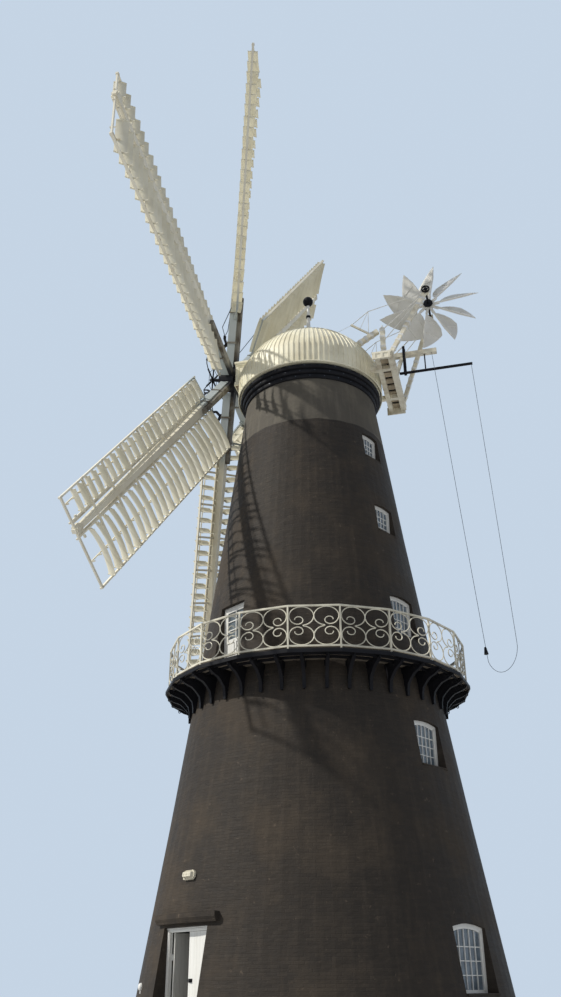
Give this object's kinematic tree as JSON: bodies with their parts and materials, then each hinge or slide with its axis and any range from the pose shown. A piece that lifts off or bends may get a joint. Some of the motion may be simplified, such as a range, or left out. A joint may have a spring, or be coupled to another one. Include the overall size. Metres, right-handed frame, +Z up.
{
  "type": "traditional tower windmill",
  "caption": "Tall round brick tower windmill with a railed gallery, domed cap, shuttered sails and a fantail.",
  "frame": {"origin": "centre of the tower base on the ground, on the underside of the ground floor slab", "axes": "+Z up along the tower; the sails face -Y and the fantail stands on the +Y side"},
  "size_m": [23.1962, 11.559, 31.7052],
  "materials": {
    "dark_brick": "tarred brickwork, slightly glossy, painted over",
    "floor_boards": "worn boards",
    "white_joinery": "gloss paint",
    "window_glass": "window glass",
    "black_iron": "gloss black paint",
    "lamp_cover": "clouded cover",
    "gallery_paint": "cream paint",
    "cream_timber": "cream paint",
    "sail_cloth": "painted canvas on laths",
    "fan_white": "white paint",
    "chain_line": "dull steel"
  },
  "bodies": {
    "tower": {"bulkhead_lamp": "lamp_cover", "curb": "black_iron", "door_frame": "white_joinery", "door_hood": "black_iron", "gallery_brackets": "black_iron", "gallery_deck": "floor_boards", "gallery_fascia": "black_iron", "gallery_posts": "gallery_paint", "gallery_rails": "gallery_paint", "ground_floor": "floor_boards", "stage_door": "white_joinery", "upper_floors": "floor_boards", "wall_1": "dark_brick", "wall_2": "dark_brick", "wall_3": "dark_brick", "wall_4": "dark_brick", "wall_5": "dark_brick", "wall_6": "dark_brick", "wall_over_door": "dark_brick", "window_frames": "white_joinery", "window_glass": "window_glass"},
    "cap": {"cap_ring": "cream_timber", "cap_dome": "cream_timber", "finial": "cream_timber", "finial_ball": "black_iron", "front_box": "cream_timber", "neck_bearing": "black_iron", "stage_frame": "cream_timber", "stage_planks": "cream_timber", "stage_fascia": "cream_timber", "fan_posts": "cream_timber", "stage_uprights": "cream_timber", "stage_braces": "cream_timber", "rear_spar": "cream_timber", "striking_pole": "black_iron", "chain": "chain_line", "chain_weight": "black_iron"},
    "sails": {"sail_1_frame": "cream_timber", "sail_1_shutters": "sail_cloth", "sail_2_frame": "cream_timber", "sail_2_shutters": "sail_cloth", "sail_3_frame": "cream_timber", "sail_3_shutters": "sail_cloth", "sail_4_frame": "cream_timber", "sail_4_shutters": "sail_cloth", "sail_5_frame": "cream_timber", "sail_5_shutters": "sail_cloth", "sail_6_frame": "cream_timber", "sail_6_shutters": "sail_cloth", "windshaft": "black_iron", "iron_cross": "black_iron", "striking_spider": "black_iron"},
    "fan": {"fan_axle": "black_iron", "fan_blades": "fan_white"},
    "left_leaf": {"door_left": "white_joinery"},
    "right_leaf": {"door_right": "white_joinery"}
  },
  "joints": [
    {"name": "cap_turn", "type": "hinge", "parent": "tower", "child": "cap", "pos_m": [0, 0, 19.46], "axis": [0, 0, 1], "continuous": true},
    {"name": "sails_spin", "type": "hinge", "parent": "cap", "child": "sails", "pos_m": [0, -3.03614, 20.93499], "axis": [0, -0.9794, 0.2019], "continuous": true},
    {"name": "fan_spin", "type": "hinge", "parent": "cap", "child": "fan", "pos_m": [0, 4.31, 22.86], "axis": [1, 0, 0], "continuous": true},
    {"name": "door_left_swing", "type": "hinge", "parent": "tower", "child": "left_leaf", "pos_m": [3.07609, -3.05075, 0.1], "axis": [0, 0, 1], "range_deg": [-90, 0]},
    {"name": "door_right_swing", "type": "hinge", "parent": "tower", "child": "right_leaf", "pos_m": [3.93798, -1.80602, 0.1], "axis": [0, 0, 1], "range_deg": [-90, 0]}
  ]
}
